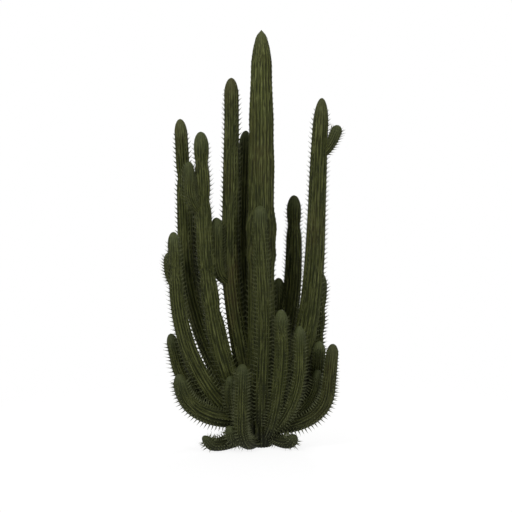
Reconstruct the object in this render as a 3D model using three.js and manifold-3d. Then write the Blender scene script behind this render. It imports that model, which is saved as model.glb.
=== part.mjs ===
// Organ pipe cactus: a clump of ribbed columns that rise from one short root crown.
// Millimetres, +Z up, ground at Z = 0, origin at the centre of the cut under the trunk.
// Seen from the front (looking along +Y), +X is to the right.

import * as THREE from 'three';
import { mergeVertices } from 'three/addons/utils/BufferGeometryUtils.js';
import Module from 'manifold-3d';

const wasm = await Module();
wasm.setup();

// Driving dimensions of the whole plant
const TRUNK_RIBS = 18;
const ARM_RIBS = 12;
const RIB_DEPTH = 0.15; // depth of a groove, as a share of the column's radius
const CLEARANCE = 0.3; // gap left where two columns press together

// The trunk's radius at a few heights: a narrow foot, a swollen crown that bears the arms, a long
// taper with a few swellings, and a pointed top
const TRUNK_PROFILE = [
  { height: 0, radius: 108 },
  { height: 120, radius: 180 },
  { height: 330, radius: 205 },
  { height: 620, radius: 180 },
  { height: 950, radius: 155 },
  { height: 1970, radius: 140 },
  { height: 2070, radius: 162 },
  { height: 2200, radius: 150 },
  { height: 2390, radius: 169 },
  { height: 2590, radius: 138 },
  { height: 3040, radius: 141 },
  { height: 3300, radius: 131 },
  { height: 3560, radius: 135 },
  { height: 3950, radius: 115 },
  { height: 4150, radius: 112 },
  { height: 4300, radius: 91 },
  { height: 4435, radius: 58 },
  { height: 4500, radius: 0 },
];

// How every arm swells, narrows and wanders along its length
const NECK = 0.72; // share of the full girth where an arm springs from its host
const NECK_LENGTH = 2.2; // in girths
const WAIST_DEPTH = 0.18; // how far a pause in growth pinches an arm
const WAIST_SPREAD = 75;
const DOME_STEPS = [0.4, 0.78]; // rings up the rounded tip, as shares of its length
const WANDER = 20; // sideways sway of an arm that is not quite straight
const WANDER_LENGTH = 2400;

// Where the rings of an arm stand: no further apart than this length or this turn
const RING_STEP = 720;
const RING_TURN = 28;
const RING_CLEAR = 110; // nor closer than this to the ring at a waist
const SAMPLE_STEP = 10; // how finely a path is walked to find a place on it

// Each arm grows in one upright plane. Seen from above it heads along `bearing` (degrees from +X
// towards +Y). It leaves the trunk's axis at height `leaves`, climbing at `slope` degrees, bends up
// until it stands straight at height `shoulder`, and goes on to a tip at `reach` from the axis and
// `height` from the ground, leaning out by `lean` degrees. `girth` is its width low down and `top`
// its width under the tip, `dome` is the length of the rounded tip, and `waists` are the pauses in
// growth, measured down from the tip.
const ARMS = [
  // In front of the trunk
  { name: 'arm_front_short', bearing: 240, reach: 432, height: 960, leaves: 80, slope: -10,
    shoulder: 330, lean: 0, girth: 140, top: 132, dome: 100 },
  { name: 'arm_front_right', bearing: 300, reach: 410, height: 1530, leaves: 80, slope: 19,
    shoulder: 1200, lean: 2.5, girth: 152, top: 152, dome: 160, waists: [225] },
  { name: 'arm_front_right_outer', bearing: 318, reach: 537, height: 1360, leaves: 80, slope: 30,
    shoulder: 1020, lean: 0.5, girth: 140, top: 118, dome: 140 },
  { name: 'arm_front_left_short', bearing: 215, reach: 400, height: 805, leaves: 170, slope: 15,
    shoulder: 620, lean: 0, girth: 132, top: 122, dome: 110 },
  { name: 'stub_front_left', bearing: 228, reach: 505, height: 300, leaves: 80, slope: 0,
    shoulder: 190, lean: 12, girth: 108, top: 104, dome: 80 },
  { name: 'arm_front_tall', bearing: 271, reach: 262, height: 2620, leaves: 180, slope: 20,
    shoulder: 1100, lean: 0, girth: 190, top: 146, dome: 105 },
  // Low on the right and the left
  { name: 'stub_right_ground', bearing: 323, reach: 455, height: 172, leaves: 146, slope: -16,
    shoulder: 106, lean: 40, girth: 182, top: 122, dome: 80 },
  { name: 'stub_left_ground', bearing: 210, reach: 712, height: 180, leaves: 193, slope: -17,
    shoulder: 92, lean: 45, girth: 242, top: 96, dome: 100 },
  { name: 'arm_right_low', bearing: 340, reach: 812, height: 1158, leaves: 203, slope: 4,
    shoulder: 650, lean: 6.5, girth: 190, top: 126, dome: 110 },
  { name: 'arm_left_low_front', bearing: 200, reach: 938, height: 842, leaves: 322, slope: -4,
    shoulder: 740, lean: 12, girth: 272, top: 140, dome: 130 },
  { name: 'arm_left_low', bearing: 183, reach: 984, height: 1240, leaves: 75, slope: 30,
    shoulder: 900, lean: 12, girth: 190, top: 122, dome: 120 },
  { name: 'arm_right_small', bearing: 345, reach: 625, height: 862, leaves: 120, slope: 24,
    shoulder: 760, lean: 5, girth: 132, top: 116, dome: 110 },
  { name: 'arm_right_middle', bearing: 358, reach: 632, height: 1150, leaves: 110, slope: 20,
    shoulder: 820, lean: 3, girth: 156, top: 142, dome: 120 },
  // Left and right columns
  { name: 'arm_left_outer', bearing: 192, reach: 956, height: 2342, leaves: 100, slope: 33,
    shoulder: 1780, lean: 2.6, girth: 228, top: 130, dome: 130, waists: [430] },
  { name: 'arm_left_lumpy', bearing: 190, reach: 656, height: 3408, leaves: 80, slope: 54,
    shoulder: 2400, lean: 1.8, girth: 233, top: 157, dome: 150, waists: [340, 730, 1530, 1930] },
  { name: 'arm_left_far', bearing: 165, reach: 924, height: 3572, leaves: 90, slope: 49,
    shoulder: 2200, lean: 2.6, girth: 240, top: 138, dome: 165, waists: [640] },
  { name: 'arm_right_tall', bearing: 8, reach: 660, height: 3784, leaves: 100, slope: 40.5,
    shoulder: 2400, lean: 2.3, girth: 282, top: 164, dome: 290 },
  { name: 'arm_right_back', bearing: 22, reach: 708, height: 1880, leaves: 100, slope: 35,
    shoulder: 1150, lean: 3, girth: 156, top: 150, dome: 170, waists: [400, 690, 930] },
  // Behind the trunk
  { name: 'arm_left_tall', bearing: 165, reach: 333, height: 4000, leaves: 120, slope: 73,
    shoulder: 2300, lean: -0.7, girth: 222, top: 156, dome: 190 },
  { name: 'arm_back_tall', bearing: 116.5, reach: 425, height: 3455, leaves: 140, slope: 48,
    shoulder: 1500, lean: 0.8, girth: 170, top: 156, dome: 190 },
  { name: 'arm_right_lumpy', bearing: 50, reach: 602, height: 2738, leaves: 120, slope: 63,
    shoulder: 2480, lean: 1.5, girth: 268, top: 155, dome: 160, waists: [340] },
  { name: 'arm_back_short', bearing: 65, reach: 442, height: 1810, leaves: 170, slope: 45,
    shoulder: 1200, lean: 0.5, girth: 140, top: 132, dome: 125 },
  { name: 'arm_back_middle', bearing: 88, reach: 520, height: 2940, leaves: 150, slope: 50,
    shoulder: 1700, lean: 1.2, girth: 178, top: 146, dome: 180 },
  { name: 'arm_back_left', bearing: 150, reach: 862, height: 2700, leaves: 120, slope: 50,
    shoulder: 2000, lean: 2.5, girth: 170, top: 140, dome: 160 },
  // Low at the back
  { name: 'arm_back_low_right', bearing: 36, reach: 826, height: 1000, leaves: 120, slope: 10,
    shoulder: 600, lean: 4, girth: 140, top: 120, dome: 120 },
  { name: 'arm_back_low_inner', bearing: 62, reach: 690, height: 1090, leaves: 110, slope: 28,
    shoulder: 800, lean: 3, girth: 145, top: 124, dome: 130 },
  { name: 'arm_back_low_middle', bearing: 93, reach: 640, height: 1310, leaves: 130, slope: 30,
    shoulder: 900, lean: 2, girth: 150, top: 128, dome: 130 },
  { name: 'arm_back_low_outer', bearing: 155, reach: 966, height: 1130, leaves: 100, slope: 16,
    shoulder: 800, lean: 6, girth: 140, top: 124, dome: 120 },
];

// Branches grow out of an arm instead of the trunk: `on` names it and `leaves` is the height there
const BRANCHES = [
  { name: 'branch_right', on: 'arm_right_tall', bearing: 350, reach: 215, height: 3490,
    leaves: 3150, slope: 30, shoulder: 3390, lean: 22, girth: 128, top: 120, dome: 75 },
  { name: 'branch_left_outer', on: 'arm_left_outer', bearing: 132, reach: 126, height: 2125,
    leaves: 1755, slope: 25, shoulder: 1930, lean: 3, girth: 118, top: 126, dome: 120 },
  { name: 'branch_left_upper', on: 'arm_left_lumpy', bearing: 205, reach: 160, height: 3090,
    leaves: 2540, slope: 20, shoulder: 2850, lean: 0, girth: 128, top: 117, dome: 125 },
  { name: 'branch_left_inner', on: 'arm_left_tall', bearing: 215, reach: 185, height: 2493,
    leaves: 1790, slope: 14, shoulder: 2030, lean: 0, girth: 160, top: 130, dome: 120 },
];

// Colour of the skin
const skin = new THREE.MeshStandardMaterial({ color: 0x4c5630, roughness: 0.75, metalness: 0 });

// Smooth step from 0 to 1
const ease = (t) => THREE.MathUtils.smoothstep(t, 0, 1);

// Outline of a rounded tip: the share of the full radius at a share of the tip's length from its point
const domeShare = (t) => Math.sqrt(1 - (1 - t) ** 2);

// Radius of an arm of length `length` at distance `along` from its root
function armRadius(arm, length, along) {
  const fromTip = length - along;
  const width = THREE.MathUtils.lerp(arm.girth, arm.top, along / length);
  const neck = THREE.MathUtils.lerp(NECK, 1, ease(along / (NECK_LENGTH * arm.girth)));
  const pinch = (waist) => 1 - WAIST_DEPTH * Math.exp(-(((fromTip - waist) / WAIST_SPREAD) ** 2));
  const waisted = (arm.waists ?? []).reduce((share, waist) => share * pinch(waist), 1);
  const tip = fromTip < arm.dome ? domeShare(fromTip / arm.dome) : 1;
  return (width / 2) * neck * waisted * tip;
}

// Sideways wander of an arm at distance `along` from its root, as a share of the largest sway
function wander(along, heading) {
  const settled = ease(along / (WANDER_LENGTH / 2));
  return settled * Math.sin((2 * Math.PI * along) / WANDER_LENGTH + heading);
}

// Centreline of an arm: a bend and then a straight rise, in the upright plane of its bearing
function armPath(arm, origin) {
  const heading = THREE.MathUtils.degToRad(arm.bearing);
  const climb = Math.tan(THREE.MathUtils.degToRad(arm.slope));
  const lean = Math.tan(THREE.MathUtils.degToRad(arm.lean));
  const place = (out, height) =>
    new THREE.Vector3(origin.x + out * Math.cos(heading), origin.y + out * Math.sin(heading), height);
  const riseAt = (height) => arm.reach - lean * (arm.height - height);
  // The bend's corner is where the first climb, carried on, would meet the rise, carried down
  const corner = riseAt(arm.leaves) / (1 - lean * climb);
  const shoulder = place(riseAt(arm.shoulder), arm.shoulder);
  const bend = place(corner, arm.leaves + climb * corner);
  const path = new THREE.CurvePath();
  path.add(new THREE.QuadraticBezierCurve3(place(0, arm.leaves), bend, shoulder));
  path.add(new THREE.LineCurve3(shoulder, place(arm.reach, arm.height)));
  return path;
}

// Distances along an arm at which it gets a ring: close in the bends, one at each waist and one between
function ringPlaces(arm, path) {
  const length = path.getLength();
  const waists = arm.waists ?? [];
  const swells = waists.map((waist, i) => (waist + (waists[i - 1] ?? arm.dome)) / 2);
  const fixed = [...waists, ...swells].map((fromTip) => length - fromTip);
  const places = [0];
  const samples = Math.round(length / SAMPLE_STEP);
  const last = { along: 0, tangent: path.getTangentAt(0) };
  for (let i = 1; i < samples; i++) {
    const along = (length * i) / samples;
    if (along > length - arm.dome) break;
    const tangent = path.getTangentAt(i / samples);
    const turned = THREE.MathUtils.radToDeg(tangent.angleTo(last.tangent));
    if (along - last.along < RING_STEP && turned < RING_TURN) continue;
    places.push(along);
    last.along = along;
    last.tangent = tangent;
  }
  const isClear = (along) => fixed.every((other) => Math.abs(along - other) > RING_CLEAR);
  const clear = places.filter((along) => along === 0 || isClear(along));
  const tip = [0, ...DOME_STEPS].map((share) => length - arm.dome * (1 - share) ** 2);
  return [...clear, ...fixed, ...tip].sort((a, b) => a - b);
}

// A ribbed column: a turned profile, fluted, and bent along a path that lies in an upright plane
function ribbedColumn(profile, ribs, path, heading, sway) {
  const geometry = new THREE.LatheGeometry(profile, 2 * ribs);
  const position = geometry.getAttribute('position');
  const length = path.getLength();
  const sideways = new THREE.Vector3(-Math.sin(heading), Math.cos(heading), 0);
  const vertex = new THREE.Vector3();
  for (let i = 0; i < position.count; i++) {
    vertex.fromBufferAttribute(position, i);
    const turn = Math.floor(i / profile.length);
    const groove = turn % 2 === 1 ? 1 - RIB_DEPTH : 1;
    const share = THREE.MathUtils.clamp(vertex.y / length, 0, 1);
    const tangent = path.getTangentAt(share);
    const across = new THREE.Vector3().crossVectors(tangent, sideways);
    const centre = path.getPointAt(share).addScaledVector(tangent, vertex.y - share * length);
    const aside = vertex.z * groove + sway * wander(vertex.y, heading);
    centre.addScaledVector(across, vertex.x * groove).addScaledVector(sideways, aside);
    position.setXYZ(i, centre.x, centre.y, centre.z);
  }
  return geometry;
}

// Turns a closed geometry into a solid for cutting, and a cut solid back into a named mesh
function toSolid(geometry) {
  const bare = geometry.clone();
  bare.deleteAttribute('normal');
  bare.deleteAttribute('uv');
  const merged = mergeVertices(bare, 1e-3);
  const corners = [];
  for (let i = 0; i < merged.index.count; i += 3) {
    const [a, b, c] = merged.index.array.slice(i, i + 3);
    if (a !== b && b !== c && c !== a) corners.push(a, b, c);
  }
  const vertProperties = merged.getAttribute('position').array;
  return new wasm.Manifold(new wasm.Mesh({ numProp: 3, vertProperties, triVerts: new Uint32Array(corners) }));
}

function toMesh(solid, name) {
  const cut = solid.getMesh();
  const geometry = new THREE.BufferGeometry();
  geometry.setAttribute('position', new THREE.BufferAttribute(cut.vertProperties, 3));
  geometry.setIndex(new THREE.BufferAttribute(cut.triVerts, 1));
  geometry.computeVertexNormals();
  const mesh = new THREE.Mesh(geometry, skin);
  mesh.name = name;
  return mesh;
}

// The trunk: a straight ribbed column with a flat cut at the ground
function trunkColumn(extra) {
  const top = TRUNK_PROFILE.at(-1).height;
  const path = new THREE.LineCurve3(new THREE.Vector3(0, 0, 0), new THREE.Vector3(0, 0, top));
  const sides = TRUNK_PROFILE.slice(1, -1);
  const profile = [
    new THREE.Vector2(0, -extra),
    new THREE.Vector2(TRUNK_PROFILE[0].radius + extra, -extra),
    ...sides.map(({ height, radius }) => new THREE.Vector2(radius + extra, height)),
    new THREE.Vector2(0, top + extra),
  ];
  return ribbedColumn(profile, TRUNK_RIBS, path, 0, 0);
}

// An arm, made `extra` wider all round where its clearance is wanted
function armColumn(arm, origin, extra) {
  const path = armPath(arm, origin);
  const length = path.getLength();
  const rings = ringPlaces(arm, path);
  const profile = [
    new THREE.Vector2(0, 0),
    ...rings.map((along) => new THREE.Vector2(armRadius(arm, length, along) + extra, along)),
    new THREE.Vector2(0, length + extra),
  ];
  return ribbedColumn(profile, ARM_RIBS, path, THREE.MathUtils.degToRad(arm.bearing), WANDER);
}

// Point of an arm's centreline at a given height
function pointAtHeight(path, height) {
  const points = path.getSpacedPoints(Math.round(path.getLength() / SAMPLE_STEP));
  return points.reduce((best, p) => (Math.abs(p.z - height) < Math.abs(best.z - height) ? p : best));
}

// Plant the trunk first, then each arm, cut clear of what stands already
const cactus = new THREE.Group();
cactus.name = 'organ_pipe_cactus';
const standing = [];
const paths = new Map();

function plant(name, column) {
  let solid = toSolid(column(0));
  for (const wider of standing) solid = solid.subtract(wider);
  const bodies = solid.decompose();
  const body = bodies.reduce((best, next) => (next.volume() > best.volume() ? next : best));
  cactus.add(toMesh(body, name));
  standing.push(toSolid(column(CLEARANCE)));
}

plant('trunk', trunkColumn);
for (const arm of ARMS) {
  const origin = new THREE.Vector3();
  paths.set(arm.name, armPath(arm, origin));
  plant(arm.name, (extra) => armColumn(arm, origin, extra));
}
for (const branch of BRANCHES) {
  const origin = pointAtHeight(paths.get(branch.on), branch.leaves);
  plant(branch.name, (extra) => armColumn(branch, origin, extra));
}

export default cactus;
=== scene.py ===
# %% [markdown]
# # An organ pipe cactus
#
# The plant is a clump of ribbed columns that spring from one root crown: a tall pointed trunk in
# the middle and some thirty arms round it, each bending up from the crown and then standing almost
# straight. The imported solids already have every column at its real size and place. This lesson
# grows a finer skin over each of them, sets the rows of spines on the ribs and lights the whole.
#
# Everything is in metres. The ground is at Z = 0, the trunk stands on the origin, and a viewer
# looks along +Y with +X to the right.

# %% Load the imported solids
import math
from types import SimpleNamespace

import bmesh
import bpy
import numpy as np
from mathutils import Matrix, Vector


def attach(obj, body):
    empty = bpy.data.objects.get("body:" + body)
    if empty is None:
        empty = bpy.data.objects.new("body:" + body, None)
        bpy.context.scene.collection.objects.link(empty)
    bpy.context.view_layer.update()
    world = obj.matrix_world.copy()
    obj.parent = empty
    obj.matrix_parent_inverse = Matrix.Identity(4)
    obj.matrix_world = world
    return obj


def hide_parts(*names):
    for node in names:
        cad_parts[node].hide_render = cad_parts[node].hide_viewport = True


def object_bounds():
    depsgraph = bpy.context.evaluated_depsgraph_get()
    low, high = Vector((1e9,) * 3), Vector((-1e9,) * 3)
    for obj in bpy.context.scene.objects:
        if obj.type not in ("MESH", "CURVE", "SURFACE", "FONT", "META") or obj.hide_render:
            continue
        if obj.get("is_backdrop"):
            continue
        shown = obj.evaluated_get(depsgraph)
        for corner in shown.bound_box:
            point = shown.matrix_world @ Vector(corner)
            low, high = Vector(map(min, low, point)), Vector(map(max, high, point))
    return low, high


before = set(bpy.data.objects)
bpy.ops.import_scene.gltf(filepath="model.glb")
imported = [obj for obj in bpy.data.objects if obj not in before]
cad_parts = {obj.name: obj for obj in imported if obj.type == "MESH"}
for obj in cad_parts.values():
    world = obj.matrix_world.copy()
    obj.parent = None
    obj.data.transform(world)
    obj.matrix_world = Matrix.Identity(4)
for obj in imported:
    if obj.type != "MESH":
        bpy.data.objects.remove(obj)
cad_box = [list(corner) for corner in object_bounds()]
print("solids:", len(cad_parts), "box:", [[round(v, 3) for v in corner] for corner in cad_box])

# %% [markdown]
# ## The camera
#
# The picture was taken from far off with a long lens, a little above the middle of the plant and
# looking slightly down. Distance and lens are a pair: a longer lens further away shows the same
# frame with less perspective. The distance was chosen from how low the feet of the front arms
# hang below the foot of the trunk, and the lens from the plant's height in the frame.

# %% Camera
CAMERA_DISTANCE = 11.0
CAMERA_TILT = math.radians(3)
CAMERA_AIM = Vector((-0.058, 0, 2.075))
LENS_MM = 71.4
SENSOR_MM = 36

camera = bpy.data.objects.new("camera", bpy.data.cameras.new("camera"))
bpy.context.scene.collection.objects.link(camera)
camera.data.lens = LENS_MM
camera.data.sensor_width = SENSOR_MM
towards_viewer = Vector((0, -math.cos(CAMERA_TILT), math.sin(CAMERA_TILT)))
camera.location = CAMERA_AIM + CAMERA_DISTANCE * towards_viewer
camera.rotation_euler = (math.radians(90) - CAMERA_TILT, 0, 0)
bpy.context.scene.camera = camera
print("camera at", [round(v, 2) for v in camera.location])

# %% [markdown]
# ## Light and floor
#
# The plant is lit softly from above on the front left, and what stands behind the trunk lies in
# its shade. A big area lamp does that. A weaker one on the front right lifts the other side, another
# behind keeps the plant's back readable, and an even sky does the rest. The sky that lights the
# plant is dimmer than the white behind it, so the two are mixed by the kind of ray.
# The floor is a pale disc that fades out to nothing, so that no horizon crosses the picture.

# %% Sky
SKY_LIGHT = 0.56

scene = bpy.context.scene
scene.view_settings.view_transform = "Standard"
scene.world = bpy.data.worlds.new("studio")
scene.world.use_nodes = True
sky = scene.world.node_tree
sky.nodes.clear()
backdrop = sky.nodes.new("ShaderNodeBackground")
backdrop.inputs["Color"].default_value = (1, 1, 1, 1)
ambient = sky.nodes.new("ShaderNodeBackground")
ambient.inputs["Color"].default_value = (1, 1, 1, 1)
ambient.inputs["Strength"].default_value = SKY_LIGHT
ray = sky.nodes.new("ShaderNodeLightPath")
choose = sky.nodes.new("ShaderNodeMixShader")
world_out = sky.nodes.new("ShaderNodeOutputWorld")
sky.links.new(ray.outputs["Is Camera Ray"], choose.inputs[0])
sky.links.new(ambient.outputs[0], choose.inputs[1])
sky.links.new(backdrop.outputs[0], choose.inputs[2])
sky.links.new(choose.outputs[0], world_out.inputs["Surface"])
print("sky nodes:", len(sky.nodes))

# %% Lamps
LAMP_AIM = Vector((0, 0, 2.0))
KEY_PLACE = Vector((-4.25, -7.1, 9.3))
KEY_SIDE = 3.0
KEY_WATTS = 640
FILL_PLACE = Vector((6.3, -8.6, 5.0))
FILL_SIDE = 1.5
FILL_WATTS = 345
BACK_PLACE = Vector((2.2, 8.6, 6.5))
BACK_SIDE = 3.0
BACK_WATTS = 480


def area_lamp(name, place, side, watts):
    """A square lamp that faces the middle of the plant."""
    lamp = bpy.data.objects.new(name, bpy.data.lights.new(name, "AREA"))
    scene.collection.objects.link(lamp)
    lamp.data.energy = watts
    lamp.data.size = side
    lamp.location = place
    lamp.rotation_euler = (LAMP_AIM - place).to_track_quat("-Z", "Y").to_euler()
    print(name, "distance", round((LAMP_AIM - place).length, 2))


area_lamp("key_lamp", KEY_PLACE, KEY_SIDE, KEY_WATTS)
area_lamp("fill_lamp", FILL_PLACE, FILL_SIDE, FILL_WATTS)
area_lamp("back_lamp", BACK_PLACE, BACK_SIDE, BACK_WATTS)


# %% Helpers for materials
def srgb(red, green, blue):
    """A colour given as 0 to 255 screen values, as the linear colour that a shader wants."""
    def linear(value):
        share = value / 255
        return share / 12.92 if share <= 0.04045 else ((share + 0.055) / 1.055) ** 2.4
    return (linear(red), linear(green), linear(blue), 1)


def new_material(name):
    """An empty node material with a Principled shader wired to its output."""
    material = bpy.data.materials.new(name)
    material.use_nodes = True
    tree = material.node_tree
    tree.nodes.clear()
    shader = tree.nodes.new("ShaderNodeBsdfPrincipled")
    output = tree.nodes.new("ShaderNodeOutputMaterial")
    tree.links.new(shader.outputs[0], output.inputs["Surface"])
    return material, tree, shader


def node(tree, kind, inputs=None, **settings):
    """A node with some settings, and inputs that are values or other nodes' outputs."""
    made = tree.nodes.new(kind)
    for name, value in settings.items():
        setattr(made, name, value)
    for name, value in (inputs or {}).items():
        if isinstance(value, bpy.types.NodeSocket):
            tree.links.new(value, made.inputs[name])
        else:
            made.inputs[name].default_value = value
    return made


# %% Floor
FLOOR_RADIUS = 7.0
FLOOR_SOLID = 1.4
FLOOR_FADED = 4.5
FLOOR_GLOW = 0.86
FLOOR_GREY = 0.14
FLOOR_ROUGHNESS = 0.9
FLOOR_SPECULAR = 0.1
FLOOR_SIDES = 96


def floor_material():
    """Pale and matt near the plant, fading to nothing further out."""
    material, tree, shader = new_material("floor_pale")
    shader.inputs["Base Color"].default_value = (FLOOR_GREY, FLOOR_GREY, FLOOR_GREY, 1)
    shader.inputs["Roughness"].default_value = FLOOR_ROUGHNESS
    shader.inputs["Specular IOR Level"].default_value = FLOOR_SPECULAR
    shader.inputs["Emission Color"].default_value = (1, 1, 1, 1)
    shader.inputs["Emission Strength"].default_value = FLOOR_GLOW
    place = node(tree, "ShaderNodeTexCoord")
    far = node(tree, "ShaderNodeVectorMath", {0: place.outputs["Object"]}, operation="LENGTH")
    fade = node(tree, "ShaderNodeMapRange", {"Value": far.outputs["Value"], "From Min": FLOOR_SOLID,
                                             "From Max": FLOOR_FADED}, interpolation_type="SMOOTHSTEP")
    clear = node(tree, "ShaderNodeBsdfTransparent")
    mix = node(tree, "ShaderNodeMixShader", {0: fade.outputs["Result"], 1: shader.outputs[0],
                                             2: clear.outputs[0]})
    tree.links.new(mix.outputs[0], tree.nodes["Material Output"].inputs["Surface"])
    return material


floor_mesh = bpy.data.meshes.new("floor")
bm = bmesh.new()
bmesh.ops.create_circle(bm, cap_ends=True, segments=FLOOR_SIDES, radius=FLOOR_RADIUS)
bm.to_mesh(floor_mesh)
bm.free()
floor_mesh.materials.append(floor_material())
floor = bpy.data.objects.new("floor", floor_mesh)
scene.collection.objects.link(floor)
floor.visible_diffuse = False
floor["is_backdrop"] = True
print("floor faces:", len(floor_mesh.polygons))

# %% [markdown]
# ## The arms' table
#
# Each arm grows in one upright plane. Seen from above it heads along `bearing` (degrees from +X
# towards +Y). It leaves the trunk's axis at height `leaves`, climbing at `slope` degrees, bends up
# until it stands straight at height `shoulder`, and goes on to a tip at `reach` from the axis and
# `height` from the ground, leaning out by `lean` degrees. `girth` is its width low down, `top` its
# width under the tip, `dome` the length of the rounded tip, and `waists` are pauses in growth,
# measured down from the tip. A branch grows `on` an arm instead of on the trunk.
# These are the rows that the solids were made from, so each skin lies on its solid. Only the ribs
# are finer and more than the solids' flutes: sixteen on an arm and twenty on the trunk.


# %% Table of arms
def arm(name, bearing, reach, height, leaves, slope, shoulder, lean, girth, top, dome,
        waists=(), on=None, blush=0.0, young=0.09, tone=1.0):
    """One row of the table. `blush` is how red-brown the skin dries, from 0 to 1, `young` the share
    of the length, down from the tip, whose spines are still growing, and `tone` how light the skin is
    painted, which is painted light: lighter on columns that stand in shade, darker on some lit ones."""
    return SimpleNamespace(**locals())


# The tones are painted light: columns that stand in shade, such as arm_back_left, arm_back_tall and
# arm_right_lumpy, are painted lighter, and some lit arms in front darker
ARMS = [
    # In front of the trunk
    arm("arm_front_short", 240, 0.432, 0.960, 0.080, -10, 0.330, 0, 0.140, 0.132, 0.100, tone=0.86),
    arm("arm_front_right", 300, 0.410, 1.530, 0.080, 19, 1.200, 2.5, 0.152, 0.152, 0.160, (0.225,)),
    arm("arm_front_right_outer", 318, 0.537, 1.360, 0.080, 30, 1.020, 0.5, 0.140, 0.118, 0.140),
    arm("arm_front_left_short", 215, 0.400, 0.805, 0.170, 15, 0.620, 0, 0.132, 0.122, 0.110),
    arm("stub_front_left", 228, 0.505, 0.300, 0.080, 0, 0.190, 12, 0.108, 0.104, 0.080),
    arm("arm_front_tall", 271, 0.262, 2.620, 0.180, 20, 1.100, 0, 0.190, 0.146, 0.105,
        young=0.28, tone=0.92),
    # Low on the right and the left
    arm("stub_right_ground", 323, 0.455, 0.172, 0.146, -16, 0.106, 40, 0.182, 0.122, 0.080, young=0),
    arm("stub_left_ground", 210, 0.712, 0.180, 0.193, -17, 0.092, 45, 0.242, 0.096, 0.100, young=0),
    arm("arm_right_low", 340, 0.812, 1.158, 0.203, 4, 0.650, 6.5, 0.190, 0.126, 0.110,
        blush=0.3, young=0.4, tone=0.82),
    arm("arm_left_low_front", 200, 0.938, 0.842, 0.322, -4, 0.740, 12, 0.272, 0.140, 0.130, tone=0.9),
    arm("arm_left_low", 183, 0.984, 1.240, 0.075, 30, 0.900, 12, 0.190, 0.122, 0.120),
    arm("arm_right_small", 345, 0.625, 0.862, 0.120, 24, 0.760, 5, 0.132, 0.116, 0.110),
    arm("arm_right_middle", 358, 0.632, 1.150, 0.110, 20, 0.820, 3, 0.156, 0.142, 0.120),
    # Left and right columns
    arm("arm_left_outer", 192, 0.956, 2.342, 0.100, 33, 1.780, 2.6, 0.228, 0.130, 0.130, (0.430,)),
    arm("arm_left_lumpy", 190, 0.656, 3.408, 0.080, 54, 2.400, 1.8, 0.233, 0.157, 0.150,
        (0.340, 0.730, 1.530, 1.930)),
    arm("arm_left_far", 165, 0.924, 3.572, 0.090, 49, 2.200, 2.6, 0.240, 0.138, 0.165, (0.640,),
        blush=0.45, tone=1.1),
    arm("arm_right_tall", 8, 0.660, 3.784, 0.100, 40.5, 2.400, 2.3, 0.282, 0.164, 0.290, blush=0.25),
    arm("arm_right_back", 22, 0.708, 1.880, 0.100, 35, 1.150, 3, 0.156, 0.150, 0.170,
        (0.400, 0.690, 0.930)),
    # Behind the trunk
    arm("arm_left_tall", 165, 0.333, 4.000, 0.120, 73, 2.300, -0.7, 0.222, 0.156, 0.190,
        blush=0.6, tone=0.92),
    arm("arm_back_tall", 116.5, 0.425, 3.455, 0.140, 48, 1.500, 0.8, 0.170, 0.156, 0.190, tone=1.1),
    arm("arm_right_lumpy", 50, 0.602, 2.738, 0.120, 63, 2.480, 1.5, 0.268, 0.155, 0.160, (0.340,),
        tone=1.1),
    arm("arm_back_short", 65, 0.442, 1.810, 0.170, 45, 1.200, 0.5, 0.140, 0.132, 0.125),
    arm("arm_back_middle", 88, 0.520, 2.940, 0.150, 50, 1.700, 1.2, 0.178, 0.146, 0.180),
    arm("arm_back_left", 150, 0.862, 2.700, 0.120, 50, 2.000, 2.5, 0.170, 0.140, 0.160, tone=1.3),
    # Low at the back
    arm("arm_back_low_right", 36, 0.826, 1.000, 0.120, 10, 0.600, 4, 0.140, 0.120, 0.120),
    arm("arm_back_low_inner", 62, 0.690, 1.090, 0.110, 28, 0.800, 3, 0.145, 0.124, 0.130),
    arm("arm_back_low_middle", 93, 0.640, 1.310, 0.130, 30, 0.900, 2, 0.150, 0.128, 0.130),
    arm("arm_back_low_outer", 155, 0.966, 1.130, 0.100, 16, 0.800, 6, 0.140, 0.124, 0.120),
    # Branches on the arms
    arm("branch_right", 350, 0.215, 3.490, 3.150, 30, 3.390, 22, 0.128, 0.120, 0.075,
        on="arm_right_tall", young=0),
    arm("branch_left_outer", 132, 0.126, 2.125, 1.755, 25, 1.930, 3, 0.118, 0.126, 0.120,
        on="arm_left_outer"),
    arm("branch_left_upper", 205, 0.160, 3.090, 2.540, 20, 2.850, 0, 0.128, 0.117, 0.125,
        on="arm_left_lumpy"),
    arm("branch_left_inner", 215, 0.185, 2.493, 1.790, 14, 2.030, 0, 0.160, 0.130, 0.120,
        on="arm_left_tall"),
]
print("arms and branches:", len(ARMS))

# %% [markdown]
# ## How a column grows
#
# A column is kept as a walk along its middle, a point every few millimetres: where the middle is,
# which way it heads, and how thick the column is there. Blender curves could hold that too, but a
# plain array is quicker to ask "what is at 1.25 m from the root?", and rings and spines both ask.

# %% Rule for an arm's middle
OUTLINE_STEPS = 400


def arm_outline(row):
    """The arm's middle in its own plane, as distances out from the axis and heights."""
    climb = math.tan(math.radians(row.slope))
    lean = math.tan(math.radians(row.lean))
    corner_out = (row.reach - lean * (row.height - row.leaves)) / (1 - lean * climb)
    corner = np.array((corner_out, row.leaves + climb * corner_out))
    start = np.array((0, row.leaves))
    shoulder = np.array((row.reach - lean * (row.height - row.shoulder), row.shoulder))
    tip = np.array((row.reach, row.height))
    share = np.linspace(0, 1, OUTLINE_STEPS)[:, None]
    bend = (1 - share) ** 2 * start + 2 * share * (1 - share) * corner + share ** 2 * shoulder
    rise = shoulder + share[1:] * (tip - shoulder)
    return np.vstack((bend, rise))


# %% Rule for an arm's thickness
NECK = 0.72
NECK_LENGTH = 2.2
WAIST_DEPTH = 0.18
WAIST_SPREAD = 0.075


def ease(share):
    """Smooth step from 0 to 1."""
    share = np.clip(share, 0, 1)
    return share * share * (3 - 2 * share)


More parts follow.
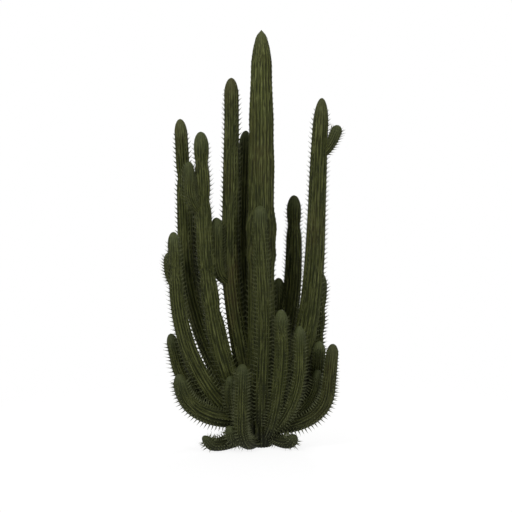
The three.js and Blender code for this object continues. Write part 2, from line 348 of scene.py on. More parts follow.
def dome_share(share):
    """A rounded tip: the share of the full radius at a share of the tip's length from its point."""
    return np.sqrt(np.clip(1 - (1 - np.clip(share, 0, 1)) ** 2, 0, 1))


def arm_radius(row, walk):
    """Radius at each distance from the root: a neck, a slow taper, waists and a rounded tip."""
    length = walk[-1]
    from_tip = length - walk
    radius = (row.girth + (row.top - row.girth) * walk / length) / 2
    radius = radius * (NECK + (1 - NECK) * ease(walk / (NECK_LENGTH * row.girth)))
    for waist in row.waists:
        radius = radius * (1 - WAIST_DEPTH * np.exp(-(((from_tip - waist) / WAIST_SPREAD) ** 2)))
    return radius * dome_share(from_tip / row.dome)


# %% Walk along every arm
WALK_STEP = 0.005
WANDER = 0.020
WANDER_LENGTH = 2.4
ARM_RIBS = 16
ARM_RIB_DEPTH = 0.13
SHORTEST_PITCH = 0.027
PITCH_GROWTH = 0.0065


def cluster_pitch(length):
    """Distance between the clusters of spines on a rib: they stand further apart on a long stem."""
    return SHORTEST_PITCH + PITCH_GROWTH * length


def grow_arm(row, root):
    """Walks along the arm and returns its middle, directions and radius at every step."""
    outline = arm_outline(row)
    travelled = np.concatenate(([0], np.cumsum(np.linalg.norm(np.diff(outline, axis=0), axis=1))))
    walk = np.linspace(0, travelled[-1], max(2, round(travelled[-1] / WALK_STEP)))
    out = np.interp(walk, travelled, outline[:, 0])
    up = np.interp(walk, travelled, outline[:, 1])
    heading = math.radians(row.bearing)
    ahead = np.array((math.cos(heading), math.sin(heading), 0))
    sideways = np.array((-math.sin(heading), math.cos(heading), 0))
    sway = WANDER * np.sin(2 * math.pi * walk / WANDER_LENGTH + heading)
    sway = sway * ease(walk / (WANDER_LENGTH / 2))
    middle = np.outer(out, ahead) + np.outer(up, (0, 0, 1)) + np.outer(sway, sideways)
    middle[:, :2] += root[:2]
    tangent = np.outer(np.gradient(out, walk), ahead) + np.outer(np.gradient(up, walk), (0, 0, 1))
    tangent /= np.linalg.norm(tangent, axis=1)[:, None]
    return SimpleNamespace(name=row.name, ribs=ARM_RIBS, rib_depth=ARM_RIB_DEPTH, walk=walk,
                           middle=middle, tangent=tangent, sideways=sideways,
                           across=np.cross(tangent, sideways),
                           radius=arm_radius(row, walk), dome=row.dome, pitch=cluster_pitch(walk[-1]),
                           blush=row.blush, tone=row.tone, young=row.young)


columns = {}
for row in ARMS:
    host_root = (0, 0)
    if row.on:
        host = columns[row.on]
        host_root = host.middle[np.argmin(np.abs(host.middle[:, 2] - row.leaves))]
    columns[row.name] = grow_arm(row, host_root)
print("metres of arm:", round(sum(c.walk[-1] for c in columns.values()), 1))

# %% [markdown]
# ## The trunk's walk
#
# The trunk is straight, so only its thickness needs saying: a narrow foot, the swollen crown that
# bears the arms, a few old pauses in growth further up, and a sharp point. The solid is cut from
# straight pieces between these heights. Skin has no creases there, so the radii are averaged over
# a short stretch, except at the point.

# %% Trunk
TRUNK_RIBS = 20
TRUNK_RIB_DEPTH = 0.09
TRUNK_SOFTEN = 0.16
TRUNK_POINT = 0.35
TRUNK_YOUNG = 0.09
TRUNK_BLUSH = 0.25

# Heights, each with the skin's tone or the trunk's radius there
TRUNK_TONES = ((2.6, 0.92), (3.9, 1.15))
TRUNK_RADII = [(0, 0.108), (0.12, 0.18), (0.33, 0.205), (0.62, 0.18), (0.95, 0.155), (1.97, 0.14),
               (2.07, 0.162), (2.2, 0.15), (2.39, 0.169), (2.59, 0.138), (3.04, 0.141), (3.3, 0.131),
               (3.56, 0.135), (3.95, 0.115), (4.15, 0.112), (4.3, 0.091), (4.435, 0.058), (4.5, 0)]


def grow_trunk():
    """The trunk as a column like the arms."""
    heights, radii = np.array(TRUNK_RADII).T
    walk = np.linspace(0, heights[-1], round(heights[-1] / WALK_STEP))
    exact = np.interp(walk, heights, radii)
    window = np.hanning(round(TRUNK_SOFTEN / WALK_STEP))
    margin = len(window)
    padded = np.pad(exact, margin, mode="edge")
    soft = np.convolve(padded, window / window.sum(), mode="same")[margin:-margin]
    pointed = ease((walk - heights[-1] + TRUNK_POINT) / (TRUNK_POINT / 2))
    middle = np.outer(walk, (0, 0, 1))
    tangent = np.tile((0.0, 0.0, 1.0), (len(walk), 1))
    sideways = np.array((0.0, 1.0, 0.0))
    tone = np.interp(walk, *zip(*TRUNK_TONES))
    return SimpleNamespace(name="trunk", ribs=TRUNK_RIBS, rib_depth=TRUNK_RIB_DEPTH, walk=walk,
                           middle=middle, tangent=tangent, sideways=sideways,
                           across=np.cross(tangent, sideways), radius=soft + (exact - soft) * pointed,
                           dome=TRUNK_POINT, pitch=cluster_pitch(walk[-1]), blush=TRUNK_BLUSH, tone=tone,
                           young=TRUNK_YOUNG)


columns["trunk"] = grow_trunk()
print("columns:", len(columns))


# %% Asking a walk what is where
LEAST_CROSSING = 0.2


def along(column, distance, values):
    """The column's values, one row per step of its walk, at any distances from its root."""
    return np.stack([np.interp(distance, column.walk, axis) for axis in values.T], axis=-1)


def outward(column, distance, turn):
    """Directions out of the column at each distance, for one turn or for one turn per distance."""
    across = along(column, distance, column.across)
    return np.cos(turn)[..., None] * column.sideways + np.sin(turn)[..., None] * across


def front_step(column, distance, turn):
    """How far along its rib a cluster is moved, so that the ribs keep step as seen from the front."""
    heading = along(column, distance, column.tangent)[..., 1]
    out = outward(column, distance, turn)[..., 1]
    radius = np.interp(distance, column.walk, column.radius)
    shift = radius * out * heading / np.maximum(1 - heading ** 2, LEAST_CROSSING)
    return np.clip(shift, -column.pitch, column.pitch)


# %% [markdown]
# ## Ribbed skin
#
# A stem of this cactus has low rounded ribs with a narrow groove between them, and each rib is
# a little raised where a cluster of spines sits on it, every three to five centimetres. To model
# it, one ring of edges is extruded again and again up the column, and every new ring is put in its
# place: out from the middle by the radius there, less in the grooves, a little more at each cluster.
# A lathe could not follow the bend, and a displaced tube would blur the grooves.
#
# Some values are kept on the points for the paint: how near a point is to a crest, its place on
# the column as if that had never bent, how far it is from tip and root, how brown the column is, and
# its tone, how light it is painted, which is painted light and shade.

# %% Relief of the ribs
RIB_SHARPNESS = 0.9
NECK_RIBS = 0.6
NECK_RIB_RADII = 4
TIP_RIBS = 0.35
TIP_RIB_DOMES = 1.6
SWELL = 0.0012
LUMP = 0.045
LUMP_SIZE = 0.16


def rib_relief(column, distance, turn):
    """Height of the skin above a plain round column of the same radius, in metres."""
    crest = np.abs(np.cos(column.ribs * turn / 2))
    radius = np.interp(distance, column.walk, column.radius)
    grown = ease((column.walk[-1] - distance) / (TIP_RIB_DOMES * column.dome))
    necked = 1 - ease(distance / (NECK_RIB_RADII * column.radius.max()))
    depth = column.rib_depth * radius * (TIP_RIBS + (1 - TIP_RIBS) * grown) * (1 + NECK_RIBS * necked)
    groove = -depth * (1 - crest ** RIB_SHARPNESS)
    from_cluster = distance - front_step(column, distance, turn)
    swell = SWELL * crest ** 3 * np.cos(2 * math.pi * from_cluster / column.pitch)
    return groove + swell * grown


def lumps(distance, turn, draw):
    """Slow unevenness of an old stem: a few waves round and along it, as a share of the radius."""
    total = 0
    for waves_round, phase_round, phase_along in draw:
        wave = np.sin(waves_round * turn + phase_round)
        total = total + wave * np.sin(distance / LUMP_SIZE + phase_along)
    return LUMP * total / len(draw)


# %% Rings up a column
RIB_STEPS = 6
LUMP_WAVES = 4
DOME_RINGS = 9
TIP_WELD = 1e-4


def ring_places(column):
    """Distances of the rings: two to a cluster, and closer over the rounded tip."""
    length = column.walk[-1]
    stem = np.arange(0, length - column.dome, column.pitch / 2)
    rings = max(DOME_RINGS, round(column.dome / column.pitch))
    tip = length - column.dome * np.linspace(1, 0, rings) ** 2
    return np.concatenate((stem[stem < tip[0] - column.pitch / 4], tip))


def skin_mesh(column, draws):
    """Extrudes one ring up the whole column, closing it at root and tip."""
    draw = [(1 + k, *draws.uniform(0, 2 * math.pi, 2)) for k in range(LUMP_WAVES)]
    bm = bmesh.new()
    turn_of = bm.verts.layers.float.new("turn")
    along_of = bm.verts.layers.float.new("along")
    ring = bmesh.ops.create_circle(bm, cap_ends=True, segments=column.ribs * RIB_STEPS, radius=1)["verts"]
    for vert in ring:
        vert[turn_of] = math.atan2(vert.co.y, vert.co.x) % (2 * math.pi)
    edges = bm.edges[:]
    for distance in ring_places(column):
        turn = np.array([vert[turn_of] for vert in ring])
        radius = np.interp(distance, column.walk, column.radius)
        height = radius * (1 + lumps(distance, turn, draw)) + rib_relief(column, distance, turn)
        middle = along(column, distance, column.middle)
        places = middle + outward(column, distance, turn) * height[:, None]
        for vert, place in zip(ring, places):
            vert.co = place
            vert[along_of] = distance
        if distance < column.walk[-1]:
            grown = bmesh.ops.extrude_edge_only(bm, edges=edges)["geom"]
            ring = [part for part in grown if isinstance(part, bmesh.types.BMVert)]
            edges = [part for part in grown if isinstance(part, bmesh.types.BMEdge) and part.is_boundary]
    bmesh.ops.remove_doubles(bm, verts=ring, dist=TIP_WELD)
    bmesh.ops.recalc_face_normals(bm, faces=bm.faces[:])
    for face in bm.faces:
        face.smooth = True
    mesh = bpy.data.meshes.new("skin_" + column.name)
    bm.to_mesh(mesh)
    bm.free()
    return mesh


# %% Values kept on the skin for its paint
def point_values(mesh, name):
    """Reads a value kept on every point of a mesh."""
    values = np.empty(len(mesh.vertices), np.float32)
    mesh.attributes[name].data.foreach_get("value", values)
    return values


def keep_values(mesh, name, values):
    """Keeps a value, or a vector, on every point of a mesh."""
    if values.ndim == 1:
        mesh.attributes.new(name, "FLOAT", "POINT").data.foreach_set("value", values.astype(np.float32))
    else:
        vectors = mesh.attributes.new(name, "FLOAT_VECTOR", "POINT").data
        vectors.foreach_set("vector", values.astype(np.float32).ravel())


def keep_paint_values(mesh, column):
    """Crest, straightened place, distances from tip and root, blush and tone, for the skin's shader."""
    turn = point_values(mesh, "turn")
    distance = point_values(mesh, "along")
    radius = np.interp(distance, column.walk, column.radius)
    keep_values(mesh, "crest", np.abs(np.cos(column.ribs * turn / 2)))
    straight = np.stack((radius * np.cos(turn), radius * np.sin(turn), distance), axis=1)
    keep_values(mesh, "straight", straight)
    keep_values(mesh, "from_tip", column.walk[-1] - distance)
    keep_values(mesh, "from_root", distance)
    keep_values(mesh, "blush", np.full(len(distance), column.blush))
    tone = np.broadcast_to(column.tone, column.walk.shape)
    keep_values(mesh, "tone", np.interp(distance, column.walk, tone))


# %% UV map for baking
STRIP_MARGIN = 0.02
STRIP_EDGE = 1e-4


def unroll(mesh, column):
    """A UV map for baking: the skin slit along one rib, laid flat and cut into strips side by side."""
    turn = point_values(mesh, "turn")
    distance = point_values(mesh, "along")
    corner_point = np.empty(len(mesh.loops), np.int32)
    mesh.loops.foreach_get("vertex_index", corner_point)
    starts = np.empty(len(mesh.polygons), np.int32)
    mesh.polygons.foreach_get("loop_start", starts)
    corners = np.diff(np.append(starts, len(corner_point)))
    across = turn[corner_point] / (2 * math.pi)
    widest = np.maximum.reduceat(across, starts) - np.minimum.reduceat(across, starts)
    across = np.where(np.repeat(widest > 0.5, corners) & (across < 0.5), across + 1, across)
    length = column.walk[-1]
    strips = max(1, round(math.sqrt(length / (2 * math.pi * column.radius.max()))))
    up = distance[corner_point] / length * strips
    strip = np.minimum(np.floor(np.minimum.reduceat(up, starts) + STRIP_EDGE), strips - 1)
    strip = np.repeat(strip, corners)
    inner = 1 - 4 * STRIP_MARGIN
    places = np.stack(((strip + STRIP_MARGIN + across * inner) / strips,
                       STRIP_MARGIN + (up - strip) * inner), axis=1)
    mesh.uv_layers.new(name="OFBake").data.foreach_set("uv", places.astype(np.float32).ravel())


# %% [markdown]
# ## Paint for the skin
#
# The skin is waxy and matt and olive on the flanks, with painted shade that darkens the grooves to
# deep green and a yellower painted highlight along the crests, streaks that run up the stem, fine
# cross wrinkles, a fresher green at the growing tip, a corky grey-brown at the root of a low arm,
# painted shade that darkens the skin near the ground, and a red-brown blush where a stem has dried.
# High up, where a branch joins its arm, the painted highlight on the crests is palest and the painted
# shade in the grooves darkest.
# The colours follow the values kept on the points, so they bend with the arm. A pattern on plain
# Object coordinates would run straight through it, and serves only for spots and patches.

# %% Helpers for the paint
NOTHING_TO_ALL = (0.0, 1.0)


def mix_colour(tree, share, first, second, blend="MIX"):
    """Mixes two colours, each a value or another node's output."""
    made = node(tree, "ShaderNodeMix", data_type="RGBA", blend_type=blend, clamp_factor=True)
    for socket, value in ((made.inputs[0], share), (made.inputs[6], first), (made.inputs[7], second)):
        if isinstance(value, bpy.types.NodeSocket):
            tree.links.new(value, socket)
        else:
            socket.default_value = value
    return made.outputs[2]


def ranged(tree, value, span, shares=NOTHING_TO_ALL):
    """Where a value lies in a span, as a share between the two given ones."""
    return node(tree, "ShaderNodeMapRange", {"Value": value, "From Min": span[0], "From Max": span[1],
                                             "To Min": shares[0], "To Max": shares[1]}).outputs["Result"]


def multiplied(tree, first, second):
    """The product of two values."""
    return node(tree, "ShaderNodeMath", {0: first, 1: second}, operation="MULTIPLY").outputs[0]


def larger(tree, first, second):
    """The larger of two values."""
    return node(tree, "ShaderNodeMath", {0: first, 1: second}, operation="MAXIMUM").outputs[0]


# %% Grain of the skin
# Each noise: its stretch along X, Y and Z, its detail, and the values that show as nothing and as all
STREAK = ((34, 34, 2.2), 4, 0.36, 0.66)
THREAD = ((100, 100, 5), 2, 0.53, 0.62)
SCRATCH = ((110, 110, 7), 2, 0.53, 0.62)
FLECK = ((420, 420, 260), 2, 0.62, 0.72)
MOTTLE = ((11, 11, 11), 6, 0.3, 0.7)
PATCH = ((2.3, 2.3, 1.1), 3, 0.5, 0.68)


def noise_share(tree, place, stretch, detail, low, high):
    """Cloudy noise at a place, stretched and cut to a share between 0 and 1."""
    scaled = node(tree, "ShaderNodeMapping", {"Vector": place, "Scale": stretch})
    cloud = node(tree, "ShaderNodeTexNoise", {"Vector": scaled.outputs[0], "Scale": 1.0,
                                              "Detail": detail})
    return ranged(tree, cloud.outputs[0], (low, high))


def attribute(tree, name, output="Fac"):
    """A value that is kept on the skin's points."""
    return node(tree, "ShaderNodeAttribute", attribute_name=name).outputs[output]


def skin_values(tree):
    """All that the paint reads: places on plant and stem, values kept on the points, and noise."""
    body = node(tree, "ShaderNodeTexCoord").outputs["Object"]
    straight = attribute(tree, "straight", "Vector")
    height = node(tree, "ShaderNodeSeparateXYZ", {"Vector": body}).outputs["Z"]
    return SimpleNamespace(body=body, straight=straight, height=height, crest=attribute(tree, "crest"),
                           from_tip=attribute(tree, "from_tip"), from_root=attribute(tree, "from_root"),
                           blush=attribute(tree, "blush"), tone=attribute(tree, "tone"),
                           streak=noise_share(tree, straight, *STREAK),
                           thread=noise_share(tree, straight, *THREAD),
                           scratch=noise_share(tree, straight, *SCRATCH),
                           fleck=noise_share(tree, straight, *FLECK),
                           mottle=noise_share(tree, body, *MOTTLE), patch=noise_share(tree, body, *PATCH))


# %% Colour of the ribs
# Painted light: the grooves' green is painted shade in the grooves and also the colour of dark scratches;
# the crests' olive is a painted highlight on the crests and also the colour of pale streaks and flecks
GROOVE_GREEN = srgb(19, 24, 3)
FLANK_OLIVE = srgb(38, 43, 7)
CREST_OLIVE = srgb(87, 91, 45)
THREAD_GREY = srgb(95, 99, 56)

# Crest values between which the colour changes: the painted shade of the grooves, the painted highlight
# of the ridges and the painted shade of a neck's grooves
GROOVE_TO_FLANK = (0.05, 0.6)
FLANK_TO_RIDGE = (0.7, 1.0)
NECK_TO_GROOVE = (0.85, 0.6)

# Metres between which the painted highlight and painted shade of a branch's neck begin to show and show
# fully
NECK_FROM_ROOT = (0.6, 0.3)
NECK_HEIGHT = (1.3, 1.7)

# How strongly each colour shows
RIDGE_SHARES = (0.2, 0.85)
STREAK_SHARE = 0.15
THREAD_SHARE = 0.65
SCRATCH_SHARE = 0.8


def rib_colour(tree, skin):
    """Painted shade in green grooves, olive flanks and a yellower painted highlight on the crests,
    strongest on a branch's neck, with streaks.
    """
    # Painted shade darkens the grooves, then a painted highlight lightens the crests
    colour = mix_colour(tree, ranged(tree, skin.crest, GROOVE_TO_FLANK), GROOVE_GREEN, FLANK_OLIVE)
    # A branch's neck, high up, gets the fullest painted highlight on its crests and painted shade in its
    # grooves
    high_up = ranged(tree, skin.height, NECK_HEIGHT)
    neck = multiplied(tree, ranged(tree, skin.from_root, NECK_FROM_ROOT), high_up)
    lined = larger(tree, ranged(tree, skin.streak, NOTHING_TO_ALL, RIDGE_SHARES), neck)
    ridge = multiplied(tree, ranged(tree, skin.crest, FLANK_TO_RIDGE), lined)
    colour = mix_colour(tree, ridge, colour, CREST_OLIVE)
    sunk = multiplied(tree, neck, ranged(tree, skin.crest, NECK_TO_GROOVE))
    colour = mix_colour(tree, sunk, colour, GROOVE_GREEN)
    colour = mix_colour(tree, multiplied(tree, skin.streak, STREAK_SHARE), colour, CREST_OLIVE)
    colour = mix_colour(tree, multiplied(tree, skin.thread, THREAD_SHARE), colour, THREAD_GREY)
    return mix_colour(tree, multiplied(tree, skin.scratch, SCRATCH_SHARE), colour, GROOVE_GREEN)


# %% Signs of age, and painted shade by the ground
YOUNG_GREEN = srgb(66, 72, 44)
CORK_BROWN = srgb(36, 38, 25)
BLUSH_BROWN = srgb(76, 58, 33)
# Painted shade: the dark colour the skin takes near the ground
SOIL_DARK = srgb(14, 16, 8)
SHADE = (0.5, 0.5, 0.45, 1)

# Metres between which each sign of age, and the painted shade by the ground, goes from nothing to its
# full share
YOUNG_FROM_TIP = (0.26, 0.0)
CORK_FROM_ROOT = (0.75, 0.15)
CORK_HEIGHT = (1.3, 0.7)
DRY_FROM_TIP = (0.45, 0.05)
DRY_FROM_ROOT = (0.5, 1.0)
SOIL_HEIGHT = (0.24, 0.02)

# How strongly each sign, and the painted shade by the ground, shows
YOUNG_SHARES = (0.0, 0.75)
CORK_SHARES = (0.2, 0.9)
DRY_TIP_SHARES = (0.0, 0.7)
DRY_SHARES = (0.2, 0.8)
SHADE_SHARES = (0.0, 0.3)
FLECK_SHARE = 0.3
SOIL_SHARES = (0.0, 0.65)


def aged_colour(tree, skin, colour):
    """The ribs' colour with a fresh tip, a corky root, dried patches, shade, flecks, the tone's painted
    light and painted shade by the ground.
    """
    young = ranged(tree, skin.from_tip, YOUNG_FROM_TIP, YOUNG_SHARES)
    colour = mix_colour(tree, young, colour, YOUNG_GREEN)
    corky = ranged(tree, skin.mottle, NOTHING_TO_ALL, CORK_SHARES)
    corky = multiplied(tree, ranged(tree, skin.from_root, CORK_FROM_ROOT), corky)
    corky = multiplied(tree, corky, ranged(tree, skin.height, CORK_HEIGHT))
    colour = mix_colour(tree, corky, colour, CORK_BROWN)
    dry = larger(tree, skin.patch, ranged(tree, skin.from_tip, DRY_FROM_TIP, DRY_TIP_SHARES))
    dry = multiplied(tree, dry, ranged(tree, skin.mottle, NOTHING_TO_ALL, DRY_SHARES))
    dry = multiplied(tree, skin.blush, dry)
    dry = multiplied(tree, dry, ranged(tree, skin.from_root, DRY_FROM_ROOT))
    colour = mix_colour(tree, dry, colour, BLUSH_BROWN)
    shade = ranged(tree, skin.mottle, NOTHING_TO_ALL, SHADE_SHARES)
    colour = mix_colour(tree, shade, colour, SHADE, "MULTIPLY")
    colour = mix_colour(tree, multiplied(tree, skin.fleck, FLECK_SHARE), colour, CREST_OLIVE)
    # The tone is painted light: lighter on columns in shade, darker on some lit ones
    colour = mix_colour(tree, 1.0, colour, skin.tone, "MULTIPLY")
    # Painted shade: darker towards the ground
    soil = ranged(tree, skin.height, SOIL_HEIGHT, SOIL_SHARES)
    return mix_colour(tree, soil, colour, SOIL_DARK)


# %% Skin material
SKIN_ROUGHNESS = (0.52, 0.74)
SKIN_SPECULAR = 0.15
WRINKLES = {"Scale": 34.0, "Distortion": 3.5, "Detail": 2.0, "Detail Scale": 1.5}
WRINKLE_BUMP = {"Strength": 0.4, "Distance": 0.0025}
PORES = {"Scale": 210.0, "Detail": 3.0}
PORE_BUMP = {"Strength": 0.35, "Distance": 0.0015}


def skin_relief(tree, skin):
    """Soft cross wrinkles over fine pores."""
    pores = node(tree, "ShaderNodeTexNoise", {"Vector": skin.body, **PORES}).outputs[0]
    fine = node(tree, "ShaderNodeBump", {"Height": pores, **PORE_BUMP}).outputs[0]
    wrinkle = node(tree, "ShaderNodeTexWave", {"Vector": skin.straight, **WRINKLES},
                   wave_type="BANDS", bands_direction="Z").outputs["Fac"]
    return node(tree, "ShaderNodeBump", {"Height": wrinkle, "Normal": fine, **WRINKLE_BUMP}).outputs[0]


def skin_material():
    """The waxy ribbed skin."""
    material, tree, shader = new_material("cactus_skin")
    skin = skin_values(tree)
    colour = aged_colour(tree, skin, rib_colour(tree, skin))
    tree.links.new(colour, shader.inputs["Base Color"])
    rough = ranged(tree, skin.mottle, NOTHING_TO_ALL, SKIN_ROUGHNESS)
    tree.links.new(rough, shader.inputs["Roughness"])
    tree.links.new(skin_relief(tree, skin), shader.inputs["Normal"])
    shader.inputs["Specular IOR Level"].default_value = SKIN_SPECULAR
    return material


cactus_skin = skin_material()
print("skin nodes:", len(cactus_skin.node_tree.nodes))


# %% Grow every skin
def add_piece(name, mesh, slot, *replaced):
    """Puts a finished mesh in the scene as a piece of the plant."""
    piece = bpy.data.objects.new(name, mesh)
    scene.collection.objects.link(piece)
    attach(piece, "root")
    if replaced:
        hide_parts(*replaced)


SEED = 11
draws = np.random.default_rng(SEED)
skin_faces = 0
for column in columns.values():
    mesh = skin_mesh(column, draws)
    keep_paint_values(mesh, column)
    unroll(mesh, column)
    mesh.materials.append(cactus_skin)
    add_piece("skin_" + column.name, mesh, "skin", column.name)
    skin_faces += len(mesh.polygons)
print("skins:", len(columns), "faces:", skin_faces)

# %% [markdown]
# ## Where the spines sit
#
# Spines grow from felted pads, the areoles, in a row along every crest. The rows keep step as seen
# from the front, so that the spines of several ribs fall together like the teeth of a comb. Pads
# that would lie inside another column are left out, and so are those at the very foot.
# Spines are long on the arms, most of all low down, and short on the trunk above its old foot, on
# every second rib and over the `young` part of an arm.

# %% Rows of areoles
STRAY = 0.001
TIP_BARE = 0.022
YOUNG_SHARE = 0.22
SHORT_ROW = 0.5
TRUNK_SPINE_SHARE = 0.25
TRUNK_OLD_HEIGHT = 1.6
TRUNK_SMOOTH_HEIGHT = 2.3
LOW_GROWTH = 0.1
LOW_HEIGHT = 1.6


def areoles(column):
    """Place, outward direction, direction up the stem and spine size for every pad of a column."""
    length = column.walk[-1]
    bare = min(TIP_BARE, column.young) * length
    rows = np.arange(column.ribs)
    steps = np.arange(0, math.floor((length - bare) / column.pitch))
    distance = steps[None, :] * column.pitch + draws.uniform(-STRAY, STRAY, (len(rows), len(steps)))
    turn = np.broadcast_to(rows[:, None] * 2 * math.pi / column.ribs, distance.shape)
    distance = distance.ravel()
    turn = turn.ravel()
    distance = np.clip(distance + front_step(column, distance, turn), 0, length - bare)
    out = outward(column, distance, turn)
    height = np.interp(distance, column.walk, column.radius) + rib_relief(column, distance, turn)
    place = along(column, distance, column.middle) + out * height[:, None]
    up = along(column, distance, column.tangent)
    slope = np.interp(distance, column.walk, np.gradient(column.radius, column.walk))
    normal = out - up * slope[:, None]
    normal /= np.linalg.norm(normal, axis=1)[:, None]
    grown = ease((length - distance) / max(column.young * length, WALK_STEP))
    size = YOUNG_SHARE + (1 - YOUNG_SHARE) * grown
    size = size * (1 + LOW_GROWTH * (1 - ease(place[:, 2] / LOW_HEIGHT)))
    size = size * np.where(np.repeat(rows, len(steps)) % 2, SHORT_ROW, 1)
    if column.name == "trunk":
        heights = (TRUNK_OLD_HEIGHT, TRUNK_SMOOTH_HEIGHT)
        size = size * np.interp(place[:, 2], heights, (1, TRUNK_SPINE_SHARE))
    return SimpleNamespace(place=place, normal=normal, up=up, size=size)


# %% Pads with room round them
FOOT_BARE = 0.030
BURIED_MARGIN = 0.006
SPINE_ROOM = 0.030
CROWDED_SHARE = 0.35
ROOM_STRIDE = 6


def room_round(places, column):
    """Distance from each place to the nearest other column's surface, less than nought inside it."""
    room = np.full(len(places), np.inf)
    for other in columns.values():
        if other is column:
            continue
        middle = other.middle[::ROOM_STRIDE]
        radius = other.radius[::ROOM_STRIDE]
        gap = np.linalg.norm(places[:, None] - middle[None], axis=2) - radius[None]
        room = np.minimum(room, gap.min(axis=1))
    return room


pads = []
for column in columns.values():
    found = areoles(column)
    room = room_round(found.place, column)
    ahead = room_round(found.place + SPINE_ROOM * found.normal, column)
    found.size = np.where(ahead < 0, found.size * CROWDED_SHARE, found.size)
    kept = (room > BURIED_MARGIN) & (found.place[:, 2] > FOOT_BARE)
    pads.append(SimpleNamespace(**{name: value[kept] for name, value in vars(found).items()}))
clusters = SimpleNamespace(**{name: np.concatenate([getattr(p, name) for p in pads])
                              for name in ("place", "normal", "up", "size")})
print("areoles:", len(clusters.size))

# %% [markdown]
# ## Spines and pads
#
# Thousands of small things are quickest as one joined mesh: a single spine is modelled once and its
# points are then copied into place by array arithmetic. A spine is a three-sided cone of four faces.
# Each pad has short radial spines that fan out flat and a tuft of long central ones that stand out
# from the stem, and slope up more the higher they grow. The three of a tuft start side by side up
# the rib and close to one point, so that from far away it shows as one tooth of a comb. Spines that
# would stand far out of the solids' box, or enter the ground, are cut short or left out.

# %% Patterns for one spine and one pad
def pattern(sides):
    """A small closed cone, one unit wide and tall, standing on the origin: its points and triangles."""
    bm = bmesh.new()
    bmesh.ops.create_cone(bm, cap_ends=True, segments=sides, radius1=0.5, radius2=0, depth=1)
    bmesh.ops.translate(bm, verts=bm.verts[:], vec=(0, 0, 0.5))
    bmesh.ops.triangulate(bm, faces=bm.faces[:])
    bm.verts.index_update()
    points = np.array([vert.co[:] for vert in bm.verts])
    triangles = np.array([[vert.index for vert in face.verts] for face in bm.faces])
    bm.free()
    return points, triangles


spine_pattern = pattern(3)
pad_pattern = pattern(4)
print("faces:", len(spine_pattern[1]), "to a spine,", len(pad_pattern[1]), "to a pad")


# %% Copying a pattern into place
PIECE_FACES = 180_000
NEARLY_UPRIGHT = 0.9


def joined_pieces(name, shape, place, direction, width, length, tone, materials):
    """Copies a pattern to every place and joins the copies into pieces of a size that exports well."""
    points, triangles = shape
    helper = np.where(np.abs(direction[:, 2:]) < NEARLY_UPRIGHT, (0.0, 0.0, 1.0), (1.0, 0.0, 0.0))
    right = np.cross(direction, helper)
    right /= np.linalg.norm(right, axis=1)[:, None]
    ahead = np.cross(direction, right)
    wide = width[:, None]
    axes = np.stack((right * wide, ahead * wide, direction * length[:, None]), axis=1)
    copies = place[:, None] + np.einsum("pk,nkj->npj", points, axes)
    batches = math.ceil(len(place) * len(triangles) / PIECE_FACES)
    for number, chosen in enumerate(np.array_split(np.arange(len(place)), batches), start=1):
        corners = copies[chosen].reshape(-1, 3)
        faces = (triangles[None] + len(points) * np.arange(len(chosen))[:, None, None]).reshape(-1, 3)
        mesh = bpy.data.meshes.new(f"{name}_{number}")
        mesh.from_pydata(corners, [], faces)
        for material in materials:
            mesh.materials.append(material)
        face_tone = np.repeat(tone[chosen], len(triangles)).astype(np.int32)
        mesh.polygons.foreach_set("material_index", face_tone)
        mesh.update()
        add_piece(f"{name}_{number}", mesh, "spines")
    print(name, "copies:", len(place), "pieces:", batches, "faces:", len(place) * len(triangles))


# %% [markdown]
# ## Finishes of spines and pads
#
# Old spines are dry, from grey to straw, and the felt of the pads is duller. No pattern would show
# on cones as thin as these, so every cluster takes one of a few plain colours instead. The rows then
# look mottled, as old spines do. Low down, where they are oldest, most tufts are pale.

# %% Spine and pad finishes
DRY_SPECULAR = 0.25


def plain_material(name, colour, roughness):
    """A plain dry finish."""
    material, _, shader = new_material(name)
    shader.inputs["Base Color"].default_value = colour
    shader.inputs["Roughness"].default_value = roughness
    shader.inputs["Specular IOR Level"].default_value = DRY_SPECULAR
    return material


TUFT_FINISHES = [plain_material("spine_grey", srgb(76, 80, 52), 0.6),
                 plain_material("spine_straw", srgb(86, 90, 58), 0.55),
                 plain_material("spine_brown", srgb(62, 65, 41), 0.6),
                 plain_material("spine_pale", srgb(94, 98, 68), 0.6)]
RADIAL_FINISHES = [plain_material("spine_olive", srgb(72, 77, 46), 0.6),
                   plain_material("spine_dark", srgb(56, 59, 35), 0.6)]
PAD_FINISHES = [plain_material("felt_grey", srgb(58, 62, 36), 0.95),
                plain_material("felt_tan", srgb(64, 63, 38), 0.95)]
TONE_CHANCES = (0.5, 0.28, 0.22)
PALE_TONE = len(TONE_CHANCES)
print("dry finishes:", len(TUFT_FINISHES + RADIAL_FINISHES + PAD_FINISHES))

# %% Pads
PAD_WIDTH = 0.009
PAD_HEIGHT = 0.003
PAD_LEAST = 0.7
PAD_SUNK = 0.0005

count = len(clusters.size)
cluster_tone = draws.choice(len(TONE_CHANCES), size=count, p=TONE_CHANCES)
pad_scale = PAD_LEAST + (1 - PAD_LEAST) * clusters.size
joined_pieces("areoles", pad_pattern, clusters.place - PAD_SUNK * clusters.normal, clusters.normal,
              PAD_WIDTH * pad_scale, PAD_HEIGHT * pad_scale, cluster_tone % 2, PAD_FINISHES)

# %% One spine to a pad
GROUND_CLEAR = 0.003
PROUD_SHARE = 0.03
PROUD_EDGE = 0.004
SHORTEST_CUT = 0.2
THIN_SHARE = 0.45

pad_up = clusters.up - clusters.normal * np.sum(clusters.up * clusters.normal, axis=1)[:, None]
pad_up /= np.linalg.norm(pad_up, axis=1)[:, None]
pad_side = np.cross(clusters.normal, pad_up)
thickness = THIN_SHARE + (1 - THIN_SHARE) * np.clip(clusters.size, 0, 1)


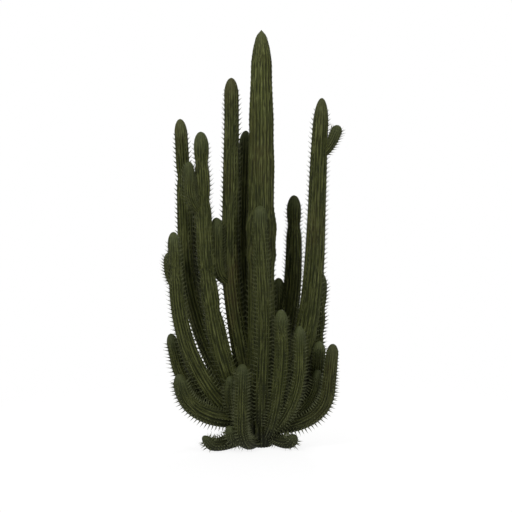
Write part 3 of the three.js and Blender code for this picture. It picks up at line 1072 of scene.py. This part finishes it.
def leaning(lean, bearing):
    """Directions that lean from each pad's outward one, towards a bearing on the skin (0 is up)."""
    flat = np.cos(bearing)[:, None] * pad_up + np.sin(bearing)[:, None] * pad_side
    return np.cos(lean)[:, None] * clusters.normal + np.sin(lean)[:, None] * flat


def fitted(root, reach):
    """Spines cut short where they would stand out of the solids' box by more than a few per cent."""
    lowest, highest = np.array(cad_box)
    proud = PROUD_SHARE * (highest - lowest) + PROUD_EDGE
    tip = root + reach
    past = np.maximum(np.maximum(tip - highest, lowest - tip) - proud, 0)
    share = 1 - np.max(past / np.maximum(np.abs(reach), WALK_STEP), axis=1)
    return reach * np.clip(share, SHORTEST_CUT, 1)[:, None]


def spines(name, root, reach, width, tone, finishes):
    """One spine to a pad, from its root to a point; left out where it would enter the ground."""
    reach = fitted(root, reach)
    length = np.linalg.norm(reach, axis=1)
    kept = root[:, 2] + reach[:, 2] > GROUND_CLEAR
    joined_pieces(name, spine_pattern, root[kept], (reach / length[:, None])[kept], width[kept],
                  length[kept], tone[kept], finishes)


# %% Radial spines
RADIAL_SPINES = 3
RADIAL_LENGTH = (0.009, 0.018)
RADIAL_SPLAY = (math.radians(48), math.radians(74))
RADIAL_SWING = 0.5
RADIAL_WIDTH = 0.0026

for number in range(RADIAL_SPINES):
    bearing = 2 * math.pi * (number + 0.5) / RADIAL_SPINES
    bearing = bearing + draws.uniform(-RADIAL_SWING, RADIAL_SWING, count)
    length = draws.uniform(*RADIAL_LENGTH, count) * clusters.size
    reach = leaning(draws.uniform(*RADIAL_SPLAY, count), bearing) * length[:, None]
    spines(f"radial_spines_{number + 1}", clusters.place, reach, RADIAL_WIDTH * thickness,
           cluster_tone % 2, RADIAL_FINISHES)

# %% Central spines
TUFT_LENGTH = 0.06
TUFT_SPREAD = (0.88, 1.12)
TUFT_SHARES = (0.8, 1.0, 0.85)
TUFT_ROOTS = (-0.0034, 0.0, 0.0034)
TUFT_WIDTH = 0.0039
TUFT_SWING = 0.1
TUFT_NOD = 0.05
TUFT_RISE_LOW = math.radians(8)
TUFT_RISE_HIGH = math.radians(41)
RISE_HEIGHT = 2.4
LOW_WIDTH = 0.35
PALE_CHANCE = (0.1, 1)

low = 1 - ease(clusters.place[:, 2] / LOW_HEIGHT)
rise = TUFT_RISE_LOW + (TUFT_RISE_HIGH - TUFT_RISE_LOW) * ease(clusters.place[:, 2] / RISE_HEIGHT)
rise = rise + draws.uniform(-TUFT_NOD, TUFT_NOD, count)
tuft_axis = leaning(rise, draws.uniform(-TUFT_SWING, TUFT_SWING, count))
tuft_length = TUFT_LENGTH * draws.uniform(*TUFT_SPREAD, count) * clusters.size
tuft_tone = np.where(low > draws.uniform(*PALE_CHANCE, count), PALE_TONE, cluster_tone)
tuft_width = thickness * (1 + LOW_WIDTH * low)
for number, (share, offset) in enumerate(zip(TUFT_SHARES, TUFT_ROOTS), start=1):
    aside = offset * pad_up * tuft_width[:, None]
    reach = share * (tuft_axis * tuft_length[:, None] - aside)
    spines(f"central_spines_{number}", clusters.place + aside, reach, TUFT_WIDTH * tuft_width, tuft_tone,
           TUFT_FINISHES)

# %% [markdown]
# ## Sizes and the closing line
#
# The dressed plant may stand a little proud of the solids, by its spines. Both boxes are printed
# for comparison.

# %% Sizes
visual_box = [list(corner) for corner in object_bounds()]
print("visual box:", [[round(v, 3) for v in corner] for corner in visual_box])
